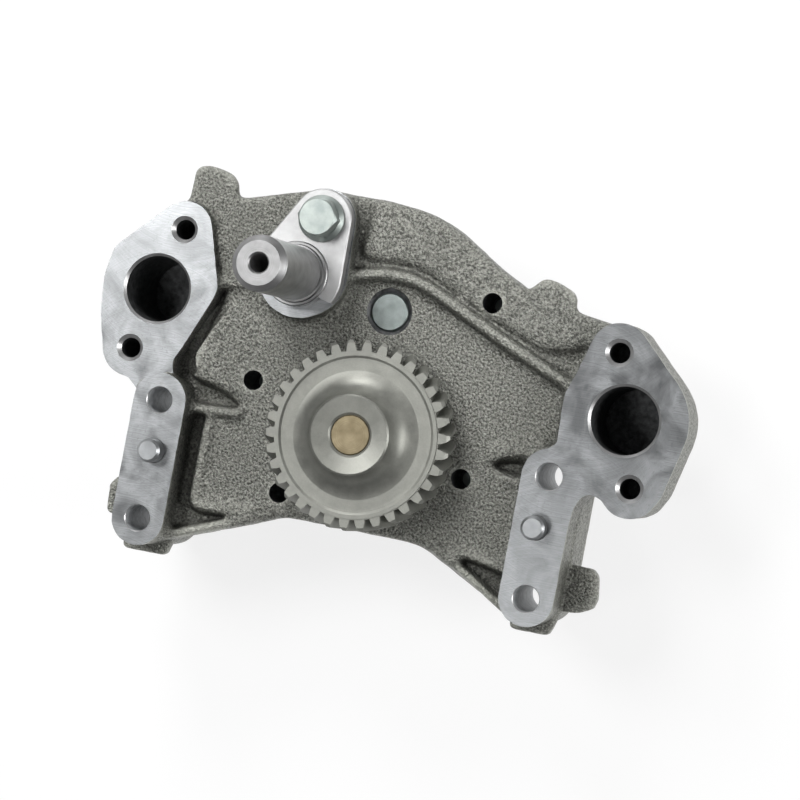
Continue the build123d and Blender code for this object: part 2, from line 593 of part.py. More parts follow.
def valve_bores():
    bore = along_y(VALVE_X, VALVE_Z, VALVE_BORE / 2, VALVE_MOUTH_Y, VALVE_SEAT_Y)
    seat = along_y(VALVE_X, VALVE_Z, VALVE_SEAT_BORE / 2, VALVE_SEAT_Y - 1, RIGHT_PORT[1] - 4)
    thread_end = VALVE_MOUTH_Y + PLUG_LENGTH + 1
    thread = along_y(VALVE_X, VALVE_Z, PLUG_THREAD / 2, VALVE_MOUTH_Y, thread_end)
    spot = along_y(VALVE_X, VALVE_Z, PLUG_HEAD / 2 + 1.0, VALVE_MOUTH_Y - 30, VALVE_MOUTH_Y)
    drain_y = VALVE_SEAT_Y - PISTON_LENGTH / 2
    drain = rod((VALVE_X, drain_y), VALVE_DRAIN / 2, REAR_Z - 1, VALVE_Z)
    return [bore, seat, thread, spot, drain]


def housing():
    return casting() - machining()


# ---------------------------------------------------------------- rear cover
def cover_circles():
    """The cover's outline is the belt round its screws and the two pump gears."""
    ears = [(x, y, COVER_EAR_RADIUS) for x, y in THROUGH_SCREWS + BLIND_SCREWS]
    return ears + [(x, y, COVER_RADIUS) for x, y in (DRIVE_AXIS, DRIVEN_AXIS)]


def rear_cover():
    cover = hulled(cover_circles(), COVER_BACK_Z, REAR_Z)
    domes = [(x, y, COVER_DOME_RADIUS) for x, y in (DRIVE_AXIS, DRIVEN_AXIS)]
    cover += hulled(domes, DOME_BACK_Z, COVER_BACK_Z)
    cover = chamfer(cover.edges().group_by(Axis.Z)[0], 1.5)
    for place in THROUGH_SCREWS + BLIND_SCREWS:
        cover -= rod(place, M8_CLEARANCE_HOLE / 2, COVER_BACK_Z - 1, REAR_Z + 1)
    for place in COVER_DOWELS:
        cover -= rod(place, COVER_DOWEL_DIAMETER / 2, REAR_Z - COVER_DOWEL_LENGTH / 2, REAR_Z + 1)
    cover -= rod(DRIVE_AXIS, BUSH_RADIUS, BUSH_BACK_Z, REAR_Z + 1)
    cover -= rod(DRIVE_AXIS, SHAFT_RADIUS - BUSH_WALL, BUSH_BACK_Z - 1.5, REAR_Z)
    cover -= rod(DRIVEN_AXIS, SHAFT_RADIUS, TAIL_Z, REAR_Z + 1)
    return cover


# ---------------------------------------------------------------- pump gears and shafts
def pump_gear(axis, phase, bore):
    blank = extrude(gear_face(PUMP_TEETH, PUMP_MODULE, PUMP_PRESSURE_ANGLE, PUMP_BACKLASH, 0.0, phase),
                    PUMP_GEAR_WIDTH)
    blank -= Cylinder(bore, 3 * PUMP_GEAR_WIDTH)
    return Pos(axis[0], axis[1], PUMP_GEAR_Z) * blank


def drive_shaft():
    bar = rod(DRIVE_AXIS, SHAFT_RADIUS, BUSH_BACK_Z + 1.0, SHAFT_END_Z)
    return chamfer(bar.edges().filter_by(GeomType.CIRCLE), 0.4)


def drive_pump_gear():
    return pump_gear(DRIVE_AXIS, 90.0, SHAFT_RADIUS)


def driven_pump_gear():
    half_pitch = 180.0 / PUMP_TEETH
    return pump_gear(DRIVEN_AXIS, -90.0 + half_pitch, BUSH_RADIUS)


def driven_gear_bush():
    outer = rod(DRIVEN_AXIS, BUSH_RADIUS, PUMP_GEAR_Z, PUMP_GEAR_Z + PUMP_GEAR_WIDTH)
    return outer - rod(DRIVEN_AXIS, BUSH_BORE, REAR_Z - 1, 1)


def driven_gear_shaft():
    bar = rod(DRIVEN_AXIS, SHAFT_RADIUS, TAIL_Z, FLOOR_Z - 0.6)
    return chamfer(bar.edges().filter_by(GeomType.CIRCLE), 0.8)


def shaft_bush(low, high):
    return rod(DRIVE_AXIS, BUSH_RADIUS, low, high) - rod(DRIVE_AXIS, BUSH_BORE, low - 1, high + 1)


def front_shaft_bush():
    return shaft_bush(CHAMBER_FRONT_Z, FLOOR_Z)


def rear_shaft_bush():
    return shaft_bush(BUSH_BACK_Z, REAR_Z)


# ---------------------------------------------------------------- drive gear
def drive_gear():
    helix = DRIVE_HELIX
    face = gear_face(DRIVE_TEETH, DRIVE_MODULE, DRIVE_PRESSURE_ANGLE, 0.1, helix, 90.0)
    pitch = DRIVE_TEETH * DRIVE_MODULE / cos(radians(helix)) / 2
    tip, root = pitch + DRIVE_MODULE, pitch - 1.25 * DRIVE_MODULE
    twist = -degrees(DRIVE_FACE * tan(radians(helix)) / pitch)
    blank = Solid.extrude_linear_with_rotation(face.face(), (0, 0, 0), (0, 0, DRIVE_FACE), twist)

    # A turned envelope gives the chamfered tooth ends
    cut = DRIVE_TOOTH_CHAMFER
    envelope = turned([(0, 0), (tip - cut, 0), (tip, cut), (tip, DRIVE_FACE - cut),
                       (tip - cut, DRIVE_FACE), (0, DRIVE_FACE)], (0, 0))
    gear = blank & envelope

    # Ring, dished web and hub
    front = DRIVE_FACE + DRIVE_RING_STEP
    crest = DRIVE_FACE + DRIVE_HUB_PROUD
    ring, foot = DRIVE_HUB_RING / 2, DRIVE_HUB_FOOT / 2
    bore = SHAFT_RADIUS
    with BuildPart() as hub:
        with BuildSketch(Plane.XZ):
            with BuildLine():
                edge = root - 0.4
                Polyline((0, DRIVE_FACE - 1), (edge, DRIVE_FACE - 1), (edge, front), (edge - 1.6, front),
                         (edge - 2.6, front - 0.5 * DRIVE_WEB_DISH), (foot, front - DRIVE_WEB_DISH))
                sag = ((ring + 0.6 * (foot - ring)), front - DRIVE_WEB_DISH + 0.18 * DRIVE_HUB_PROUD)
                flare = ((ring + 0.22 * (foot - ring)), front + 0.45 * DRIVE_HUB_PROUD)
                Spline((foot, front - DRIVE_WEB_DISH), sag, flare, (ring + 0.5, crest - 0.6),
                       tangents=[(-1, 0), (-0.2, 1)])
                Polyline((ring + 0.5, crest - 0.6), (ring - 0.2, crest),
                         (bore + 1.0, crest - DRIVE_HUB_RECESS + 0.5),
                         (bore, crest - DRIVE_HUB_RECESS - 0.5), (0, crest - DRIVE_HUB_RECESS - 0.5),
                         (0, DRIVE_FACE - 1))
            make_face()
        revolve(axis=Axis.Z)
    gear += hub.part
    gear -= turned([(bore + 7.0, -1), (root - 5.0, -1), (root - 6.0, 4.0), (bore + 8.0, 4.0)], (0, 0))
    gear -= Cylinder(bore, 4 * DRIVE_FACE)
    return Pos(DRIVE_AXIS[0], DRIVE_AXIS[1], DRIVE_BACK_Z) * gear


# ---------------------------------------------------------------- spindle and keeper
def idler_spindle():
    stem, journal, collar = SPINDLE_STEM / 2, SPINDLE_DIAMETER / 2, SPINDLE_COLLAR / 2
    base = BOSS_Z - SPINDLE_STEM_DEPTH + SPINDLE_OIL_GAP
    nose, cut, oil = NOSE_Z, SPINDLE_NOSE_CHAMFER, SPINDLE_OIL_BORE / 2
    profile = [
        (oil, base), (stem - 1.0, base), (stem, base + 1.0), (stem, BOSS_Z),
        (collar, BOSS_Z), (collar, COLLAR_Z - 0.4), (collar - 0.4, COLLAR_Z),
        (journal + 0.9, COLLAR_Z), (journal + 0.5, COLLAR_Z + 1.2), (journal - 0.5, COLLAR_Z + 1.4),
        (journal - 0.5, COLLAR_Z + 3.0), (journal, COLLAR_Z + 3.3), (journal, nose - cut),
        (journal - cut, nose), (oil + 0.6, nose), (oil, nose - 0.6),
    ]
    return turned(profile, SPINDLE_AXIS)


def keeper_direction():
    dx, dy = SPINDLE_AXIS[0] - KEEPER_BOLT[0], SPINDLE_AXIS[1] - KEEPER_BOLT[1]
    length = hypot(dx, dy)
    return dx / length, dy / length


def keeper_plate():
    plate = hulled(boss_outline(-0.4), BOSS_Z, BOSS_Z + KEEPER_THICKNESS)
    plate = chamfer(plate.edges().group_by(Axis.Z)[-1], 0.5)
    ux, uy = keeper_direction()
    heading = degrees(atan2(uy, ux))
    end = Box(60, 120, 40, align=(Align.MIN, Align.CENTER, Align.CENTER))
    centre = (SPINDLE_AXIS[0] + KEEPER_CUT * ux, SPINDLE_AXIS[1] + KEEPER_CUT * uy)
    plate -= Pos(centre[0], centre[1], 0) * Rot(0, 0, heading) * end
    plate -= rod(SPINDLE_AXIS, SPINDLE_COLLAR / 2 + SCREW_FIT, BOSS_Z - 1, BOSS_Z + 20)
    plate -= rod(KEEPER_BOLT, M10_CLEARANCE_HOLE / 2, BOSS_Z - 1, BOSS_Z + 20)
    return plate


def hexagon_head(across_flats, height):
    """A hexagon head on the plane Z = 0, its top edge chamfered round."""
    corner = across_flats / 2 / cos(pi / 6)
    cut = 0.16 * corner
    head = extrude(RegularPolygon(across_flats / 2, 6, major_radius=False), height)
    return head & turned([(0, 0), (corner + 0.1, 0), (corner + 0.1, height - cut),
                          (corner - cut, height), (0, height)], (0, 0))


def threaded_shank(core, length):
    return Cylinder(core / 2 - SCREW_FIT, length, align=(Align.CENTER, Align.CENTER, Align.MAX))


def keeper_bolt():
    """An M10 hexagon bolt with a washer face forged on."""
    rim, thick = BOLT_FLANGE / 2, BOLT_FLANGE_THICKNESS
    foot = BOLT_ACROSS_FLATS / 2 + 0.6
    collar = turned([(0, 0), (rim - 0.3, 0), (rim, 0.4), (rim, thick - 0.4), (foot, thick + 1.0),
                     (0, thick + 1.0)], (0, 0))
    bolt = hexagon_head(BOLT_ACROSS_FLATS, BOLT_HEAD_HEIGHT) + collar
    bolt += threaded_shank(M10_CORE, KEEPER_THICKNESS + KEEPER_BOLT_REACH)
    return Pos(*KEEPER_BOLT, BOSS_Z + KEEPER_THICKNESS) * Rot(0, 0, KEEPER_BOLT_TURN) * bolt


def cover_screws():
    """M8 hexagon screws, put in from the back."""
    screw = hexagon_head(SCREW_ACROSS_FLATS, SCREW_HEAD_HEIGHT)
    screw += threaded_shank(M8_CORE, COVER_THICKNESS + COVER_SCREW_GRIP)
    return [Pos(x, y, COVER_BACK_Z) * Rot(180, 0, 0) * screw for x, y in THROUGH_SCREWS + BLIND_SCREWS]


# ---------------------------------------------------------------- dowels and plugs
def pad_dowel(side):
    """A dowel whose pressed end is a hair larger than the end that stands proud."""
    proud, seat, cut = DOWEL_DIAMETER / 2, DOWEL_SEAT / 2, DOWEL_CHAMFER
    waist = proud - DOWEL_GROOVE_DEPTH
    profile = [
        (0, -DOWEL_SEATED), (seat - cut, -DOWEL_SEATED), (seat, cut - DOWEL_SEATED), (seat, 0),
        (waist, 0), (waist, DOWEL_GROOVE), (proud, DOWEL_GROOVE), (proud, DOWEL_PROUD - cut),
        (proud - cut, DOWEL_PROUD), (0, DOWEL_PROUD),
    ]
    return turned(profile, (side * DOWEL_SPACING / 2, DOWEL_Y))


def cover_dowels():
    half = COVER_DOWEL_LENGTH / 2
    pins = [rod(place, COVER_DOWEL_DIAMETER / 2, REAR_Z - half, REAR_Z + half) for place in COVER_DOWELS]
    return [chamfer(pin.edges().filter_by(GeomType.CIRCLE), 0.8) for pin in pins]


def gallery_plug():
    outer = GALLERY_PLUG_Y + GALLERY_PLUG_LENGTH
    return along_y(SPINDLE_AXIS[0], FEED_Z, GALLERY_PLUG / 2, GALLERY_PLUG_Y, outer)


# ---------------------------------------------------------------- relief valve
def relief_piston():
    radius, wall = VALVE_BORE / 2 - VALVE_FIT, PISTON_WALL
    low, high = VALVE_SEAT_Y - PISTON_LENGTH, VALVE_SEAT_Y
    piston = along_y(VALVE_X, VALVE_Z, radius, low, high)
    return piston - along_y(VALVE_X, VALVE_Z, radius - wall, low - 1, high - PISTON_CROWN)


def spring_ends():
    return VALVE_MOUTH_Y + PLUG_LENGTH, VALVE_SEAT_Y - PISTON_CROWN


def relief_spring():
    """A closed coil drawn as a helix between the plug and the piston's crown."""
    low, high = spring_ends()
    wire = SPRING_WIRE / 2
    coil_radius = VALVE_BORE / 2 - PISTON_WALL - VALVE_FIT - wire - 0.4
    rise = high - low - 2 * wire
    path = Helix(pitch=rise / SPRING_TURNS, height=rise, radius=coil_radius)
    section = Plane(origin=path @ 0, z_dir=path % 0) * Circle(wire)
    coil = sweep(section, path=path)
    return Pos(VALVE_X, low + wire, VALVE_Z) * Rot(-90, 0, 0) * coil


def relief_plug():
    seat_y = VALVE_MOUTH_Y - SEAL_THICKNESS
    head_low = seat_y - PLUG_HEAD_THICKNESS
    plug = along_y(VALVE_X, VALVE_Z, PLUG_HEAD / 2, head_low, seat_y)
    plug = chamfer(plug.edges().group_by(Axis.Y)[0], 0.6)
    shank = PLUG_THREAD / 2 - SCREW_FIT
    plug += along_y(VALVE_X, VALVE_Z, shank, seat_y, VALVE_MOUTH_Y + PLUG_LENGTH)
    socket = extrude(RegularPolygon(PLUG_SOCKET / 2, 6, major_radius=False), PLUG_SOCKET_DEPTH)
    return plug - Pos(VALVE_X, head_low, VALVE_Z) * Rot(-90, 0, 0) * socket


def relief_plug_seal():
    ring = along_y(VALVE_X, VALVE_Z, PLUG_HEAD / 2, VALVE_MOUTH_Y - SEAL_THICKNESS, VALVE_MOUTH_Y)
    hole = PLUG_THREAD / 2 + SEAL_FIT
    return ring - along_y(VALVE_X, VALVE_Z, hole, VALVE_MOUTH_Y - 5, VALVE_MOUTH_Y + 5)


# ---------------------------------------------------------------- write the nodes
def save(name, shape):
    solids = shape if isinstance(shape, list) else [shape]
    body = solids[0] if len(solids) == 1 else Compound(children=solids)
    body.label = name
    export_step(body, f"parts/{name}.step")


NODES = {
    "housing": housing,
    "rear_cover": rear_cover,
    "cover_screws": cover_screws,
    "cover_dowels": cover_dowels,
    "drive_shaft": drive_shaft,
    "drive_gear": drive_gear,
    "drive_pump_gear": drive_pump_gear,
    "driven_pump_gear": driven_pump_gear,
    "driven_gear_bush": driven_gear_bush,
    "driven_gear_shaft": driven_gear_shaft,
    "front_shaft_bush": front_shaft_bush,
    "rear_shaft_bush": rear_shaft_bush,
    "idler_spindle": idler_spindle,
    "keeper_plate": keeper_plate,
    "keeper_bolt": keeper_bolt,
    "left_dowel": lambda: pad_dowel(-1),
    "right_dowel": lambda: pad_dowel(1),
    "gallery_plug": gallery_plug,
    "relief_piston": relief_piston,
    "relief_spring": relief_spring,
    "relief_plug": relief_plug,
    "relief_plug_seal": relief_plug_seal,
}

for name, make in NODES.items():
    save(name, make())
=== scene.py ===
import bmesh
import bpy
from math import cos, pi, radians, sin
from mathutils import Matrix, Vector
from mathutils.geometry import convex_hull_2d

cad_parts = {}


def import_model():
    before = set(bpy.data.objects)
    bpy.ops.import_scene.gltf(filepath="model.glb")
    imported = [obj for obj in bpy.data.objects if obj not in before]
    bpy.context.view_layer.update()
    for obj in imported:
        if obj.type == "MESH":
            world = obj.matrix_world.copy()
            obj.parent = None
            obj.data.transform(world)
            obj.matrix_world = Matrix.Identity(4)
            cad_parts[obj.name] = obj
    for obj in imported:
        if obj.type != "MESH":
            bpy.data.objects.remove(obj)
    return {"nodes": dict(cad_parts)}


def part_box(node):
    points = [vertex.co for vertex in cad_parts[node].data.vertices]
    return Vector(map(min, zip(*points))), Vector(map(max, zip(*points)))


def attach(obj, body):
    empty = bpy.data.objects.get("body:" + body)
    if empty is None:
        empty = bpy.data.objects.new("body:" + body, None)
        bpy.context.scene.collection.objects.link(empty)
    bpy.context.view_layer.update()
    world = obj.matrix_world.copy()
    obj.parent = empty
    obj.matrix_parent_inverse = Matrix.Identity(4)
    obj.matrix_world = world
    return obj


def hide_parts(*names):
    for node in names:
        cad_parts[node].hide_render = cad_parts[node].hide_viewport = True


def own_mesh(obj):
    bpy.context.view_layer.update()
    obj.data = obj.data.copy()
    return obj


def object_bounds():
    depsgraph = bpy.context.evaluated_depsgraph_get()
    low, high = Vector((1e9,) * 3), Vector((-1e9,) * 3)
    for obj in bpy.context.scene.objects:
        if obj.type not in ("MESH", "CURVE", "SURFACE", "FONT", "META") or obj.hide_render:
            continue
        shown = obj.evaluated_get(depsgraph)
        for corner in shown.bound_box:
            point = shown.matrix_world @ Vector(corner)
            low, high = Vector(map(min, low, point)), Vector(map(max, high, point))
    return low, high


# Engine oil pump: castings, finishes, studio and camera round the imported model. Lengths are in metres,
# in the part's frame, unless a section says millimetres. +Z leaves the machined pads, and the pump lies
# on its rear cover.

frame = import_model()
cad_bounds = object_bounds()
MM = 0.001


# ------------------------------------------------------------------ shader helpers
class Shader:
    """One node material, built up by short calls."""

    def __init__(self, name):
        self.material = bpy.data.materials.new(name)
        self.material.use_nodes = True
        self.tree = self.material.node_tree
        self.surface = self.tree.nodes["Principled BSDF"]
        self.place = self.node("ShaderNodeTexCoord").outputs["Object"]

    def node(self, kind, **settings):
        made = self.tree.nodes.new(kind)
        for key, value in settings.items():
            setattr(made, key, value)
        return made

    def feed(self, socket, value):
        """Link an output, or set a plain value."""
        if isinstance(value, bpy.types.NodeSocket):
            self.tree.links.new(value, socket)
        else:
            socket.default_value = value

    def set(self, **values):
        for key, value in values.items():
            self.feed(self.surface.inputs[key.replace("_", " ")], value)

    def noise(self, size, detail=2.0, roughness=0.5, distortion=0.0):
        """Noise whose features are about size metres across."""
        made = self.node("ShaderNodeTexNoise")
        self.feed(made.inputs["Vector"], self.place)
        made.inputs["Scale"].default_value = 1.0 / size
        made.inputs["Detail"].default_value = detail
        made.inputs["Roughness"].default_value = roughness
        made.inputs["Distortion"].default_value = distortion
        return made.outputs["Fac"]

    def grains(self, size):
        """Rounded cells about size metres across, 0 at their middles."""
        made = self.node("ShaderNodeTexVoronoi", feature="SMOOTH_F1")
        self.feed(made.inputs["Vector"], self.place)
        made.inputs["Scale"].default_value = 1.0 / size
        return made.outputs["Distance"]

    def remap(self, value, low, high, to_low=0.0, to_high=1.0):
        """The span from low to high stretched to a new one, and held at its ends."""
        made = self.node("ShaderNodeMapRange")
        self.feed(made.inputs["Value"], value)
        spans = {"From Min": low, "From Max": high, "To Min": to_low, "To Max": to_high}
        for key, number in spans.items():
            made.inputs[key].default_value = number
        return made.outputs["Result"]

    def math(self, operation, first, second=0.0):
        made = self.node("ShaderNodeMath", operation=operation)
        self.feed(made.inputs[0], first)
        self.feed(made.inputs[1], second)
        return made.outputs["Value"]

    def mix(self, share, first, second):
        """Colour mix: first at share 0, second at share 1."""
        made = self.node("ShaderNodeMix", data_type="RGBA")
        self.feed(made.inputs["Factor"], share)
        self.feed(made.inputs[6], first)
        self.feed(made.inputs[7], second)
        return made.outputs[2]

    def bump(self, height, distance, strength=1.0, under=None):
        """A bump of a 0 to 1 height field, distance metres deep, on top of another."""
        made = self.node("ShaderNodeBump")
        self.feed(made.inputs["Height"], height)
        made.inputs["Distance"].default_value = distance
        made.inputs["Strength"].default_value = strength
        if under:
            self.feed(made.inputs["Normal"], under)
        return made.outputs["Normal"]

    def shelter(self, reach, inside=False):
        """1 in the open, falling towards 0 in hollows about reach metres wide, or inside at crests."""
        made = self.node("ShaderNodeAmbientOcclusion", samples=8, only_local=True, inside=inside)
        made.inputs["Distance"].default_value = reach
        return made.outputs["AO"]

    def radius_from(self, centre):
        """Distance from an axis along Z."""
        parts = self.node("ShaderNodeSeparateXYZ")
        self.feed(parts.inputs["Vector"], self.place)
        dx = self.math("SUBTRACT", parts.outputs["X"], centre[0])
        dy = self.math("SUBTRACT", parts.outputs["Y"], centre[1])
        squares = self.math("MULTIPLY", dx, dx), self.math("MULTIPLY", dy, dy)
        return self.math("SQRT", self.math("ADD", *squares))

    def lines(self, along, pitch, detail):
        """Uneven tool marks, pitch metres apart, that cross the given distance."""
        made = self.node("ShaderNodeTexNoise", noise_dimensions="1D")
        self.feed(made.inputs["W"], self.math("DIVIDE", along, pitch))
        made.inputs["Scale"].default_value = 1.0
        made.inputs["Detail"].default_value = detail
        return made.outputs["Fac"]

    def rings(self, centre, pitch):
        """Turned grooves round an axis along Z."""
        return self.lines(self.radius_from(centre), pitch, 3.0)


def grey(level, tint=(1.0, 1.0, 1.0)):
    return (level * tint[0], level * tint[1], level * tint[2], 1.0)


# ------------------------------------------------------------------ finishes
COOL = (0.97, 1.0, 1.02)
MOSS = (0.99, 1.0, 0.90)
MILL_PATH, MILL_RADIUS, MILL_FEED = 0.092, 0.038, 0.0005
GEAR_FEED, STEEL_FEED = 0.0005, 0.0004


def cast_iron():
    """Sand-cast and blasted iron: bright grains on a dark ground, lighter at crests from wear together with
    a painted highlight, and painted shade in hollows.
    """
    s = Shader("cast_iron")
    mottle = s.noise(0.02, 3.0)
    sand = s.noise(0.0010, 3.0, 0.7)
    colour = s.mix(s.remap(sand, 0.38, 0.64), grey(0.07, MOSS), grey(0.38, MOSS))
    colour = s.mix(s.remap(mottle, 0.35, 0.7, 0.0, 0.25), colour, grey(0.18, MOSS))
    # Crests lighter: wear on the edges, together with a painted highlight along them.
    crest_wear_and_highlight = s.remap(s.shelter(0.005, inside=True), 0.85, 0.45, 0.0, 0.6)
    colour = s.mix(crest_wear_and_highlight, colour, grey(0.55, MOSS))
    # Painted shade: darker in hollows about 12 mm across, nearly black in the deepest.
    colour = s.mix(s.remap(s.shelter(0.012), 0.05, 0.95), grey(0.05, MOSS), colour)
    s.set(Base_Color=colour, Metallic=0.85, Roughness=s.remap(sand, 0.3, 0.7, 0.52, 0.34))
    lumps = s.bump(s.noise(0.003, 2.0), 0.0007, 0.45)
    grain = s.bump(s.grains(0.0013), 0.0007, 0.65, lumps)
    s.set(Normal=s.bump(sand, 0.0010, 0.9, grain))
    return s.material


def milled_iron():
    """Faces milled flat: a cutter that travels along Y on each side leaves crossing arcs."""
    s = Shader("milled_iron")
    place = s.node("ShaderNodeSeparateXYZ")
    s.feed(place.inputs["Vector"], s.place)
    aside = s.math("SUBTRACT", s.math("ABSOLUTE", place.outputs["X"]), MILL_PATH)
    reach = s.math("SUBTRACT", MILL_RADIUS ** 2, s.math("MULTIPLY", aside, aside))
    reach = s.math("SQRT", s.math("MAXIMUM", reach, 0.0))
    marks = [s.lines(s.math(way, place.outputs["Y"], reach), MILL_FEED, 4.0) for way in ("ADD", "SUBTRACT")]
    arcs = s.math("MULTIPLY", s.math("ADD", *marks), 0.5)
    smear = s.noise(0.022, 3.0, 0.6, 1.2)
    specks = s.noise(0.0009, 2.0, 0.6)
    colour = s.mix(s.remap(smear, 0.36, 0.62), grey(0.17, COOL), grey(0.30, COOL))
    colour = s.mix(s.remap(arcs, 0.42, 0.58, 0.0, 0.32), colour, grey(0.11, COOL))
    colour = s.mix(s.remap(specks, 0.60, 0.72, 0.0, 0.4), colour, grey(0.09, COOL))
    s.set(Base_Color=colour, Metallic=0.9, Roughness=s.remap(smear, 0.36, 0.62, 0.28, 0.38))
    wavy = s.bump(s.noise(0.03, 1.0), 0.0003, 0.5)
    s.set(Normal=s.bump(arcs, 0.00005, 0.5, wavy))
    return s.material


def bored_iron(name, dark, light):
    """Blotchy iron inside holes and bores, between a dark and a light grey; its near-black copy is painted
    shade.
    """
    s = Shader(name)
    blotch = s.noise(0.0025, 3.0, 0.6)
    colour = s.mix(s.remap(blotch, 0.35, 0.65), grey(dark, COOL), grey(light, COOL))
    s.set(Base_Color=colour, Metallic=0.5, Roughness=0.5, Normal=s.bump(blotch, 0.0003, 0.5))
    return s.material


def gear_steel(name, centre):
    """Dull steel, turned on its faces."""
    s = Shader(name)
    blotch = s.noise(0.008, 3.0, 0.6)
    fine = s.noise(0.0006, 3.0)
    colour = s.mix(s.remap(blotch, 0.3, 0.7), grey(0.18, MOSS), grey(0.25, MOSS))
    colour = s.mix(s.remap(fine, 0.35, 0.7, 0.0, 0.25), colour, grey(0.15, MOSS))
    s.set(Base_Color=colour, Metallic=0.6, Roughness=s.remap(blotch, 0.3, 0.7, 0.38, 0.50))
    turned = s.bump(s.rings(centre, GEAR_FEED), 0.00004, 0.3)
    s.set(Normal=s.bump(fine, 0.00008, 0.4, turned))
    return s.material


def turned_steel(name, centre, dark, light, rough):
    """Bright steel with turning marks round an axis."""
    s = Shader(name)
    rings = s.rings(centre, STEEL_FEED)
    blotch = s.noise(0.005, 3.0)
    colour = s.mix(s.remap(blotch, 0.3, 0.7), dark, light)
    colour = s.mix(s.remap(rings, 0.3, 0.7, 0.0, 0.25), colour, dark)
    s.set(Base_Color=colour, Metallic=1.0, Roughness=s.remap(rings, 0.3, 0.7, rough, rough + 0.14))
    s.set(Normal=s.bump(rings, 0.00003, 0.25))
    return s.material


def blasted_steel(name, dark, light, rough):
    """Even, finely matt metal for plates, bolts, pins and bushes."""
    s = Shader(name)
    blotch = s.noise(0.006, 3.0)
    fine = s.noise(0.0005, 2.0)
    colour = s.mix(s.remap(blotch, 0.3, 0.7), dark, light)
    s.set(Base_Color=colour, Metallic=0.8, Roughness=s.remap(fine, 0.3, 0.7, rough, rough + 0.12))
    s.set(Normal=s.bump(fine, 0.00005, 0.35))
    return s.material


def centre_of(node):
    """The middle of a node's box, seen along Z."""
    low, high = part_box(node)
    return ((low.x + high.x) / 2, (low.y + high.y) / 2)


DRIVE = centre_of("drive_shaft")
DRIVEN = centre_of("driven_gear_shaft")
SPINDLE = centre_of("idler_spindle")


def dress(node, material):
    """Give a CAD node's whole surface one finish."""
    mesh = frame["nodes"][node].data
    mesh.materials.clear()
    mesh.materials.append(material)


IRON = cast_iron()
MILLED = milled_iron()
# Near-black iron on the walls of most holes and bores, which is painted shade; the lighter one below is the
# bored iron's own grey.
DARK = bored_iron("hole_painted_shade", 0.03, 0.10)
BORED = bored_iron("bored_iron", 0.38, 0.55)
# Chamfers in a lighter metal than the milled faces round them: a painted highlight on the broken edges.
EDGE = blasted_steel("bright_edge", grey(0.34), grey(0.5), 0.28)
dress("drive_pump_gear", gear_steel("pump_gear_steel", DRIVE))
dress("driven_pump_gear", gear_steel("driven_gear_steel", DRIVEN))
TAN_DARK, TAN_LIGHT = (0.14, 0.115, 0.07, 1), (0.24, 0.20, 0.13, 1)
BLUE_DARK, BLUE_LIGHT = (0.15, 0.17, 0.165, 1), (0.25, 0.28, 0.27, 1)
dress("drive_shaft", turned_steel("shaft_steel", DRIVE, TAN_DARK, TAN_LIGHT, 0.36))
dress("driven_gear_shaft", turned_steel("pin_steel", DRIVEN, BLUE_DARK, BLUE_LIGHT, 0.3))
# Lit and shaded copies of the spindle's steel: the sides take a lighter copy as painted light, and the
# faces that look along the axis a darker, rougher one as painted shade.
SPINDLE_LIT = turned_steel("polished_steel", SPINDLE, grey(0.46), grey(0.62), 0.36)
SPINDLE_SHADED = turned_steel("spindle_steel_painted_shade", SPINDLE, grey(0.20), grey(0.29), 0.40)
dress("keeper_plate", blasted_steel("plate_steel", grey(0.35), grey(0.44), 0.44))
ZINC = blasted_steel("zinc_plate", (0.23, 0.26, 0.25, 1), (0.34, 0.37, 0.35, 1), 0.40)
for bolt in ("keeper_bolt", "cover_screws", "relief_plug", "gallery_plug"):
    dress(bolt, ZINC)
GROUND = blasted_steel("dowel_steel", grey(0.22, COOL), grey(0.32, COOL), 0.28)
for pin in ("left_dowel", "right_dowel", "cover_dowels"):
    dress(pin, GROUND)
BRONZE = blasted_steel("bronze", (0.42, 0.27, 0.12, 1), (0.60, 0.42, 0.20, 1), 0.35)
for bush in ("driven_gear_bush", "front_shaft_bush", "rear_shaft_bush"):
    dress(bush, BRONZE)
dress("relief_piston", blasted_steel("piston_steel", grey(0.5), grey(0.6), 0.2))
COPPER = blasted_steel("copper_seal", (0.55, 0.27, 0.16, 1), (0.70, 0.38, 0.24, 1), 0.35)
dress("relief_plug_seal", COPPER)


# ------------------------------------------------------------------ machining, in millimetres
# Cast pieces are rounded all over first, and the machined faces and holes are cut afterwards,
# as on the real pump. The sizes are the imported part's own. STOCK is left on a machined face
# until it is cut, a plug is wider than its hole by PLUG_GROW, and cutters run PAST the metal.
STOCK, PLUG_GROW, PAST = 2.0, 0.3, 6.0

# Levels along Z
REAR, CHAMBER_FRONT, FLOOR, BOSS, LEFT_FACE = -50.0, -25.88, -10.0, -2.0, -4.0
COVER_BACK, COVER_END = -62.0, -73.0
PORT_FLOOR, DOWEL_FLOOR, PAD_STEP = -44.5, -14.0, -9.0

# Places across Z
PAD_X, PAD_Y, DOWEL_X, DOWEL_Y = 85.0, 25.4, 83.4, 3.9
DRIVE_AXIS, DRIVEN_AXIS, SPINDLE_AXIS = (3.8, 26.95), (3.8, 79.75), (-35.2, 88.2)
KEEPER_BOLT = (-28.7, 112.6)
PORTS = (((-96.5, 71.5), LEFT_FACE, 15.0), ((111.1, 53.5), 0.0, -15.0))  # centre, face, tilt of the bolts
BOLT_REACH = 27.7
THROUGH_SCREWS = (  # place, level of the front mouth
    ((-48.9, 40.9), -9.7), ((47.0, 91.0), -6.5), ((47.0, 17.0), FLOOR), ((-28.9, -3.7), FLOOR),
)
BLIND_SCREWS = ((-8.0, 116.5), (-44.0, 104.0))
SCREWS = tuple(place for place, _ in THROUGH_SCREWS) + BLIND_SCREWS
COVER_DOWELS = ((45.5, 73.0), (-38.5, 11.5))

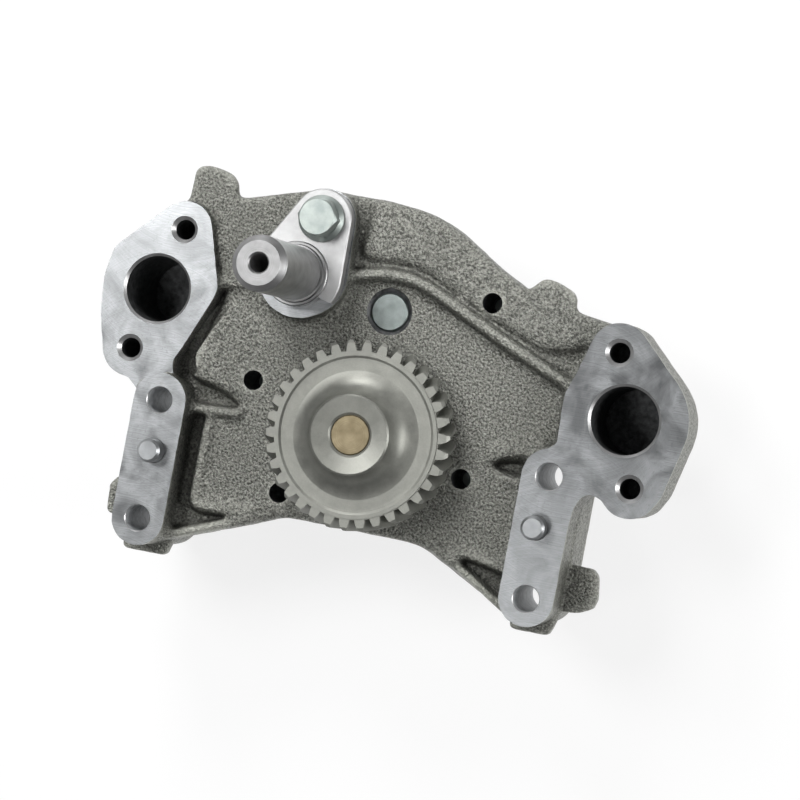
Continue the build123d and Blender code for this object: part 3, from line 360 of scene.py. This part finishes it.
# Radii and depths
M10, M8, THROUGH = 4.25, 3.4, 4.25
PAD_HOLE, PAD_HOLE_REAR, DOWEL_HOLE, COVER_DOWEL_HOLE = 5.5, 6.2, 5.01, 4.0
PORT_RADIUS, CHAMBER, SHAFT_BORE, PIN_BORE, STEM_BORE = 14.0, 31.28, 10.25, 8.25, 10.0
COVER_HOLE, SPOT_FACE, SPOT_DEPTH = 4.5, 8.2, 0.1
PORT_BOLT_DEPTH, STEM_DEPTH, KEEPER_DEPTH = 24.0, 24.0, 22.0
SCREW_DEPTH, BLIND_DEPTH, DOWEL_DEPTH = 21.0, 23.0, 9.0
PORT_CHAMFER, BOLT_CHAMFER, PAD_CHAMFER, DOWEL_CHAMFER, PIN_CHAMFER = 1.1, 1.6, 0.35, 0.3, 1.6

# The relief valve's bore and the oil drilling run along Y
VALVE_X, VALVE_Z, VALVE_MOUTH, VALVE_TRAVEL, FEED_Z = 63.5, -33.0, -19.0, 8.0, -27.0


def bar(start, end, radius, end_radius=None, segments=72):
    """A closed round bar or cone between two points, in millimetres."""
    start, end = Vector(start), Vector(end)
    along = (end - start).normalized()
    side = along.orthogonal().normalized()
    across = along.cross(side)
    shape = bmesh.new()
    rims = []
    for centre, size in ((start, radius), (end, end_radius or radius)):
        turns = [2 * pi * i / segments for i in range(segments)]
        rims.append([
            shape.verts.new((centre + size * (cos(t) * side + sin(t) * across)) * MM) for t in turns
        ])
    low, high = rims
    for i in range(segments):
        j = (i + 1) % segments
        shape.faces.new((low[i], low[j], high[j], high[i]))
    shape.faces.new(high)
    shape.faces.new(list(reversed(low)))
    return finished(shape)


def prism(points, low, high):
    """A closed straight-sided block on an outline that runs anticlockwise."""
    shape = bmesh.new()
    base = [shape.verts.new(Vector((x, y, low)) * MM) for x, y in points]
    top = [shape.verts.new(Vector((x, y, high)) * MM) for x, y in points]
    for i in range(len(points)):
        j = (i + 1) % len(points)
        shape.faces.new((base[i], base[j], top[j], top[i]))
    shape.faces.new(top)
    shape.faces.new(list(reversed(base)))
    return finished(shape)


def slab(low, high):
    """A block wider than the whole pump, between two levels."""
    return prism([(-150, -60), (160, -60), (160, 150), (-150, 150)], low, high)


def finished(shape):
    """The mesh of a closed shape, its faces turned outwards."""
    bmesh.ops.recalc_face_normals(shape, faces=shape.faces)
    mesh = bpy.data.meshes.new("shape")
    shape.to_mesh(mesh)
    shape.free()
    return mesh


def belt(circles, grow=0.0, step=6):
    """The taut outline round some circles (x, y, radius), anticlockwise."""
    points = []
    for x, y, radius in circles:
        for turn in range(0, 360, step):
            angle = radians(turn)
            points.append((x + (radius + grow) * cos(angle), y + (radius + grow) * sin(angle)))
    return [points[i] for i in convex_hull_2d([Vector(p) for p in points])]


class Hole:
    """A round hole between two levels. mouths says which ends are open: low, high or both.

    stock is what its plug adds above the high end. The last flag picks a hole bored bright; the walls of
    every other hole get near-black painted shade."""

    def __init__(self, centre, radius, low, high, mouths, stock=0.0, clean=False):
        self.centre, self.radius, self.low, self.high = centre, radius, low, high
        self.mouths, self.stock, self.clean = mouths, stock, clean

    def rod(self, low, high, grow=0.0):
        x, y = self.centre
        return bar((x, y, low), (x, y, high), self.radius + grow)

    def plug(self):
        low = self.low - (STOCK if "low" in self.mouths else 0.0)
        return self.rod(low, self.high + self.stock, PLUG_GROW)

    def cutter(self):
        low = self.low - (PAST if "low" in self.mouths else 0.0)
        high = self.high + (PAST if "high" in self.mouths else 0.0)
        return self.rod(low, high)


def port_bolts(port, tilt):
    """The places of a port flange's two bolt holes."""
    dx, dy = BOLT_REACH * sin(radians(tilt)), BOLT_REACH * cos(radians(tilt))
    return ((port[0] + dx, port[1] + dy), (port[0] - dx, port[1] - dy))


def housing_holes():
    holes = []
    for x in (-PAD_X, PAD_X):
        for y in (-PAD_Y, PAD_Y):
            holes.append(Hole((x, y), PAD_HOLE, REAR, 0.0, "low high", STOCK, clean=True))
            holes.append(Hole((x, y), PAD_HOLE_REAR, REAR, PAD_STEP, "low", clean=True))
        holes.append(Hole((x * DOWEL_X / PAD_X, DOWEL_Y), DOWEL_HOLE, DOWEL_FLOOR, 0.0, "high", STOCK))
    for port, face, tilt in PORTS:
        holes.append(Hole(port, PORT_RADIUS, PORT_FLOOR, face, "high", STOCK))
        for bolt in port_bolts(port, tilt):
            holes.append(Hole(bolt, M10, face - PORT_BOLT_DEPTH, face, "high", STOCK))
    for axis in (DRIVE_AXIS, DRIVEN_AXIS):
        holes.append(Hole(axis, CHAMBER, REAR, CHAMBER_FRONT, "low"))
    holes.append(Hole(DRIVE_AXIS, SHAFT_BORE, CHAMBER_FRONT - 1, FLOOR, "high"))
    holes.append(Hole(DRIVEN_AXIS, PIN_BORE, CHAMBER_FRONT - 1, FLOOR, "high"))
    for place, face in THROUGH_SCREWS:
        holes.append(Hole(place, M8, REAR, REAR + SCREW_DEPTH, "low"))
        holes.append(Hole(place, THROUGH, REAR + SCREW_DEPTH - 1, face, "high"))
    holes += [Hole(place, M8, REAR, REAR + BLIND_DEPTH, "low") for place in BLIND_SCREWS]
    holes += [Hole(place, COVER_DOWEL_HOLE, REAR, REAR + DOWEL_DEPTH, "low") for place in COVER_DOWELS]
    holes.append(Hole(SPINDLE_AXIS, STEM_BORE, BOSS - STEM_DEPTH, BOSS, "high", STOCK))
    holes.append(Hole(KEEPER_BOLT, M10, BOSS - KEEPER_DEPTH, BOSS, "high", STOCK))
    return holes


# Circles (x, y, radius) whose taut outline is a raised face. The flange's are from its port.
LEFT_RIM = ((0.0, 0.0, 24.4), (-17.3, 11.7, 5.5), (-18.0, -14.0, 5.0), (23.9, 4.1, 2.5), (8.2, -28.5, 4.0))
LEFT_BOLT_RIM, LEFT_RIM_GROW = 12.2, 2.6
BOSS_RIM = ((-35.2, 88.2, 18.2), (-33.6, 89.8, 19.0), (*KEEPER_BOLT, 13.2))
BOSS_RIM_GROW = 4.0
PAD_END = 12.3
LEFT_WEB = ((-74.0, 48.0), (-80.0, 56.0), (-100.0, 60.0), (-117.0, 50.0), (-112.0, 33.0))


def housing_faces():
    """Blocks that mill the faces flat."""
    (x, y), face, tilt = PORTS[0]
    rim = [(x + dx, y + dy, radius) for dx, dy, radius in LEFT_RIM]
    rim += [(*bolt, LEFT_BOLT_RIM) for bolt in port_bolts((x, y), tilt)]
    return [
        slab(0.0, PAST), slab(REAR - PAST, REAR),
        prism(belt(rim, LEFT_RIM_GROW), face, PAST), prism(beside_left_pad(), face, PAST),
        prism(belt(BOSS_RIM, BOSS_RIM_GROW), BOSS, PAST),
    ]


def beside_left_pad():
    """The milled web between the left flange and its pad, up to the pad's round end."""
    turns = [radians(t) for t in range(186, 26, -6)]
    end = [(-PAD_X + PAD_END * cos(t), PAD_Y + PAD_END * sin(t)) for t in turns]
    return list(reversed(end + list(LEFT_WEB)))


def housing_mouths():
    """Chamfers at the mouths of the holes."""
    cones = []
    for port, face, tilt in PORTS:
        cones.append(chamfer(port, PORT_RADIUS, face, PORT_CHAMFER))
        cones += [chamfer(bolt, M10, face, BOLT_CHAMFER) for bolt in port_bolts(port, tilt)]
    for x in (-PAD_X, PAD_X):
        cones += [chamfer((x, y), PAD_HOLE, 0.0, PAD_CHAMFER) for y in (-PAD_Y, PAD_Y)]
        cones.append(chamfer((x * DOWEL_X / PAD_X, DOWEL_Y), DOWEL_HOLE, 0.0, DOWEL_CHAMFER))
    return cones


def chamfer(centre, radius, face, depth):
    """A cone at 45 degrees that breaks a hole's edge by depth."""
    x, y = centre
    return bar((x, y, face - depth), (x, y, face + depth), radius, radius + 2 * depth)


def housing_side_bores():
    """Bores along Y: the relief valve's, and the oil drilling with its plug's seat."""
    feed_x = SPINDLE_AXIS[0]
    lines = (  # x, z, radius, and the two ends along Y
        (VALVE_X, VALVE_Z, 9.0, VALVE_MOUTH, 38.0),
        (VALVE_X, VALVE_Z, 6.5, 37.0, 49.5),
        (VALVE_X, VALVE_Z, 10.0, VALVE_MOUTH, -6.0),
        (VALVE_X, VALVE_Z, 13.5, VALVE_MOUTH - 30, VALVE_MOUTH),
        (feed_x, FEED_Z, 3.0, 58.0, 127.4),
        (feed_x, FEED_Z, 5.0, 117.4, 129.0),
    )
    bores = [bar((x, low, z), (x, high, z), radius) for x, z, radius, low, high in lines]
    bores.append(bar((VALVE_X, 28.0, REAR - PAST), (VALVE_X, 28.0, VALVE_Z), 4.0))
    # The driven pin's chamfer goes with these bores, so it too is given near-black painted shade.
    return bores + [chamfer(DRIVEN_AXIS, PIN_BORE, FLOOR, PIN_CHAMFER)]


def cover_holes():
    holes = [Hole(place, COVER_HOLE, COVER_BACK, REAR, "low high", STOCK) for place in SCREWS]
    for place in COVER_DOWELS:
        holes.append(Hole(place, COVER_DOWEL_HOLE, REAR - DOWEL_DEPTH, REAR, "high", STOCK))
    holes.append(Hole(DRIVE_AXIS, SHAFT_BORE, COVER_END + 5.0, REAR, "high", STOCK))
    holes.append(Hole(DRIVEN_AXIS, PIN_BORE, COVER_END + 7.0, REAR, "high", STOCK))
    return holes


def cover_faces():
    """The joint face, the back of the dome, and a spot face under each screw head."""
    spots = [bar((x, y, COVER_BACK - 3.0), (x, y, COVER_BACK + SPOT_DEPTH), SPOT_FACE) for x, y in SCREWS]
    return [slab(REAR, REAR + PAST), slab(COVER_END - PAST, COVER_END)] + spots


# ------------------------------------------------------------------ cast and turned pieces, in millimetres
VOXEL, SMOOTHING, RELIEF_SMOOTHING, KEPT_FACES = 0.7, 14, 90, 0.4
RELIEF, RELIEF_FADE = (-19.0, -3.4), (3.0, 1.5)
LUMP_SIZE, LUMP_DEPTH = 4.5, 0.35
LEVEL_ERROR = 0.02
HOUSING_LEVELS = ((0.0, STOCK), (LEFT_FACE, LEFT_FACE + STOCK), (BOSS, BOSS + STOCK), (REAR, REAR - STOCK))
COVER_LEVELS = ((REAR, REAR + STOCK), (COVER_END, COVER_END - STOCK))

# The hollow beside the left flange: its outline, and its levels
FLANGE_VALLEY = (
    (-69.9, 74.3), (-82.2, 45.5), (-82.0, 40.0), (-78.5, 37.5), (-74.0, 39.8),
    (-77.2, 43.0), (-77.6, 46.5), (-64.9, 73.0), (-66.2, 75.2), (-69.6, 75.6),
)
VALLEY_LEVELS = (-12.5, -3.6)

# Turned profiles, as (radius, height) round the piece's axis
HUB_FLARE = (
    (15.6, 18.2), (16.62, 18.35), (17.0, 16.9), (17.7, 14.9), (18.7, 13.0), (20.1, 11.2),
    (21.9, 9.8), (24.0, 8.75), (26.4, 8.05), (29.2, 7.62), (29.2, 7.0), (15.6, 7.0),
)
SPINDLE_PROFILE = (
    (3.9, -22.5), (9.0, -22.5), (10.0, -21.5), (10.0, -2.0), (13.6, -2.0), (13.6, 4.3),
    (13.2, 4.7), (12.3, 4.7), (11.9, 5.9), (10.9, 6.1), (10.9, 7.7), (11.4, 8.0),
    (11.4, 57.3), (9.0, 59.7), (4.5, 59.7), (3.9, 59.1),
)
FACE_SLOPE = 0.3


def linked(name, data):
    """A new object in the scene."""
    made = bpy.data.objects.new(name, data)
    bpy.context.scene.collection.objects.link(made)
    return made


def evaluated(piece):
    """Apply all of a piece's modifiers."""
    view = bpy.context.evaluated_depsgraph_get()
    mesh = bpy.data.meshes.new_from_object(piece.evaluated_get(view))
    piece.modifiers.clear()
    piece.data = mesh


def smoothed(piece, passes, group=""):
    """Smooth a piece all over, or by a vertex group's weights."""
    smooth = piece.modifiers.new("smooth", "SMOOTH")
    smooth.factor = 0.5
    smooth.iterations = passes
    smooth.vertex_group = group
    evaluated(piece)


def relief_group(piece):
    """The cast relief of the front, which the mould left softer than the rest."""
    group = piece.vertex_groups.new(name="relief")
    low, high = RELIEF
    fade_low, fade_high = RELIEF_FADE
    for vertex in piece.data.vertices:
        z = vertex.co.z / MM
        if low < z < high:
            weight = min(1.0, (z - low) / fade_low, (high - z) / fade_high)
            group.add([vertex.index], weight, "REPLACE")
    return group.name


def rounded_blank(name, node, levels, plugs, hollows):
    """The node's shape with its holes filled and stock on its machined faces, rounded all over."""
    shape = bmesh.new()
    shape.from_mesh(frame["nodes"][node].data)
    for vertex in shape.verts:
        for level, raised in levels:
            if abs(vertex.co.z - level * MM) < LEVEL_ERROR * MM:
                vertex.co.z = raised * MM
                break
    for plug in plugs:
        shape.from_mesh(plug)
    mesh = bpy.data.meshes.new(name)
    shape.to_mesh(mesh)
    shape.free()
    mesh.materials.clear()
    blank = linked(name, mesh)
    remesh = blank.modifiers.new("remesh", "REMESH")
    remesh.mode = "VOXEL"
    remesh.voxel_size = VOXEL * MM
    evaluated(blank)
    blank.data.materials.append(IRON)
    if hollows:
        cut(blank, hollows, IRON)
    smoothed(blank, SMOOTHING)
    smoothed(blank, RELIEF_SMOOTHING, relief_group(blank))
    lumps = bpy.data.textures.new(name + "_lumps", "CLOUDS")
    lumps.noise_scale = LUMP_SIZE * MM
    rough = blank.modifiers.new("rough", "DISPLACE")
    rough.texture = lumps
    rough.texture_coords = "LOCAL"
    rough.strength = LUMP_DEPTH * MM
    thin = blank.modifiers.new("thin", "DECIMATE")
    thin.ratio = KEPT_FACES
    evaluated(blank)
    return blank


def cut(piece, cutters, material):
    """Cut each closed cutter away, leaving the given material on what it bares: the machined finish on
    faces, near-black painted shade in holes and a painted highlight on chamfers.
    """
    tools = []
    for mesh in cutters:
        mesh.materials.append(material)
        tool = linked("cutter", mesh)
        step = piece.modifiers.new("cut", "BOOLEAN")
        step.operation = "DIFFERENCE"
        step.solver = "MANIFOLD"
        step.material_mode = "TRANSFER"
        step.object = tool
        tools.append(tool)
    evaluated(piece)
    for tool in tools:
        bpy.data.objects.remove(tool)


def shaded(piece, sharp):
    """Smooth shading that keeps edges sharper than an angle in degrees."""
    piece.data.shade_smooth()
    piece.data.set_sharp_from_angle(angle=radians(sharp))


def stand_in(piece, body, node):
    """Show a finished piece in a CAD node's place."""
    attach(piece, body)
    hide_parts(node)


def cast_piece(node, levels, holes, bores, faces, mouths=(), hollows=()):
    """Replace a CAD node by its casting, machined afterwards."""
    piece = rounded_blank(node + "_casting", node, levels, [hole.plug() for hole in holes], hollows)
    cut(piece, [hole.cutter() for hole in holes if hole.clean], BORED)
    # Every other hole and the side bores: near-black painted shade on their walls.
    cut(piece, [hole.cutter() for hole in holes if not hole.clean] + list(bores), DARK)
    cut(piece, faces, MILLED)
    if mouths:
        # Chamfers: the painted highlight on the broken edges.
        cut(piece, mouths, EDGE)
    shaded(piece, 35)
    stand_in(piece, "housing_set", node)


def drive_gear_piece():
    """The drive gear, with the broad soft flare that its hub has."""
    shape = bmesh.new()
    shape.from_mesh(frame["nodes"]["drive_gear"].data)
    shape.from_mesh(lathe(HUB_FLARE, DRIVE_AXIS))
    mesh = bpy.data.meshes.new("drive_gear_piece")
    shape.to_mesh(mesh)
    shape.free()
    mesh.materials.clear()
    mesh.materials.append(gear_steel("gear_steel", DRIVE))
    gear = linked("drive_gear_piece", mesh)
    shaded(gear, 32)
    stand_in(gear, "drive_shaft_set", "drive_gear")


def spindle_piece():
    """The idler spindle, turned in finer steps than the CAD mesh has, with its ends rougher than its sides,
    painted shade on the ends and painted light on the sides.
    """
    spindle = linked("spindle_piece", lathe(SPINDLE_PROFILE, SPINDLE_AXIS))
    spindle.data.materials.append(SPINDLE_LIT)
    spindle.data.materials.append(SPINDLE_SHADED)
    # Faces that look along the axis take the darker copy, painted shade; the sides keep the lighter one,
    # painted light.
    for face in spindle.data.polygons:
        face.material_index = 1 if abs(face.normal.z) > FACE_SLOPE else 0
    shaded(spindle, 25)
    stand_in(spindle, "housing_set", "idler_spindle")


def spring_piece():
    """The relief spring in front of its piston, shown at the CAD mesh's length."""
    spring = linked("spring_piece", frame["nodes"]["relief_spring"].data.copy())
    spring.data.materials.clear()
    spring.data.materials.append(blasted_steel("spring_steel", grey(0.2), grey(0.28), 0.3))
    stand_in(spring, "housing_set", "relief_spring")
    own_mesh(spring)


def lathe(profile, centre, segments=144):
    """A closed solid turned about an axis along Z from a closed (radius, height) profile."""
    shape = bmesh.new()
    rings = []
    for i in range(segments):
        angle = 2 * pi * i / segments
        places = [(centre[0] + r * cos(angle), centre[1] + r * sin(angle), z) for r, z in profile]
        rings.append([shape.verts.new(Vector(place) * MM) for place in places])
    for i in range(segments):
        here, there = rings[i], rings[(i + 1) % segments]
        for k in range(len(profile)):
            m = (k + 1) % len(profile)
            shape.faces.new((here[k], there[k], there[m], here[m]))
    return finished(shape)


cast_piece("housing", HOUSING_LEVELS, housing_holes(), housing_side_bores(), housing_faces(),
           housing_mouths(), [prism(FLANGE_VALLEY, *VALLEY_LEVELS)])
drive_gear_piece()
spindle_piece()
spring_piece()
cast_piece("rear_cover", COVER_LEVELS, cover_holes(), [], cover_faces())


# ------------------------------------------------------------------ studio
MIDDLE = (0.0, 0.04, 0.0)
FLOOR_REACH, PAPER, PAPER_SHOWN = 3.0, 0.86, 0.8
LAMPS = (  # name, place, width, watts
    ("window", (-0.56, 0.38, 1.05), 0.5, 9.5),
    ("top", (-0.40, 1.00, 0.65), 0.45, 11.0),
    ("right", (1.0, 0.1, 0.40), 0.5, 7.0),
    ("low", (-0.16, -0.24, 1.1), 0.25, 1.8),
)
SKY, SKY_STRENGTH = (0.8, 0.81, 0.82, 1), 0.2
EYE, LENS = (265.2, 60.8, 1046.0), 117.0  # in millimetres
EYE_RIGHT, EYE_UP = (0.9555, 0.1859, -0.2290), (-0.1843, 0.9825, 0.0284)


def floor():
    """Pale paper that shows white, straight or in the metal, and still takes the shadow."""
    size, level = FLOOR_REACH, cad_bounds[0][2]
    mesh = bpy.data.meshes.new("floor")
    corners = [(-size, -size, level), (size, -size, level), (size, size, level), (-size, size, level)]
    mesh.from_pydata(corners, [], [(0, 1, 2, 3)])
    plane = linked("floor", mesh)
    paper = bpy.data.materials.new("floor_paper")
    paper.use_nodes = True
    tree = paper.node_tree
    tree.nodes.clear()
    output = tree.nodes.new("ShaderNodeOutputMaterial")
    diffuse = tree.nodes.new("ShaderNodeBsdfDiffuse")
    diffuse.inputs["Color"].default_value = grey(PAPER)
    white = tree.nodes.new("ShaderNodeEmission")
    white.inputs["Strength"].default_value = 1.0
    path = tree.nodes.new("ShaderNodeLightPath")
    shown = tree.nodes.new("ShaderNodeMath")
    shown.operation = "MAXIMUM"
    tree.links.new(path.outputs["Is Camera Ray"], shown.inputs[0])
    tree.links.new(path.outputs["Is Glossy Ray"], shown.inputs[1])
    seen = tree.nodes.new("ShaderNodeMath")
    seen.operation = "MULTIPLY"
    tree.links.new(shown.outputs["Value"], seen.inputs[0])
    seen.inputs[1].default_value = PAPER_SHOWN
    blend = tree.nodes.new("ShaderNodeMixShader")
    tree.links.new(seen.outputs["Value"], blend.inputs["Fac"])
    tree.links.new(diffuse.outputs["BSDF"], blend.inputs[1])
    tree.links.new(white.outputs["Emission"], blend.inputs[2])
    tree.links.new(blend.outputs["Shader"], output.inputs["Surface"])
    mesh.materials.append(paper)


def soft_lamp(name, place, width, watts):
    """A round lamp that faces the middle of the pump."""
    data = bpy.data.lights.new(name, "AREA")
    data.shape = "DISK"
    data.size = width
    data.energy = watts
    lamp = linked(name, data)
    lamp.location = place
    lamp.rotation_euler = (Vector(MIDDLE) - Vector(place)).to_track_quat("-Z", "Y").to_euler()


def world():
    """A dim, even light from all round."""
    made = bpy.data.worlds.new("studio")
    made.use_nodes = True
    tree = made.node_tree
    background = tree.nodes["Background"]
    background.inputs["Color"].default_value = SKY
    background.inputs["Strength"].default_value = SKY_STRENGTH
    bpy.context.scene.world = made


def camera():
    """The eye stands 1 m in front of the pads, a little off their axis."""
    right, up = Vector(EYE_RIGHT), Vector(EYE_UP)
    back = right.cross(up)
    data = bpy.data.cameras.new("camera")
    data.sensor_width = 36.0
    data.lens = LENS
    data.clip_start = 0.01
    eye = linked("camera", data)
    turn = Matrix((right, up, back)).transposed().to_4x4()
    eye.matrix_world = Matrix.Translation(Vector(EYE) * MM) @ turn
    bpy.context.scene.camera = eye


floor()
world()
for lamp in LAMPS:
    soft_lamp(*lamp)
camera()
bpy.context.scene.view_settings.view_transform = "Standard"
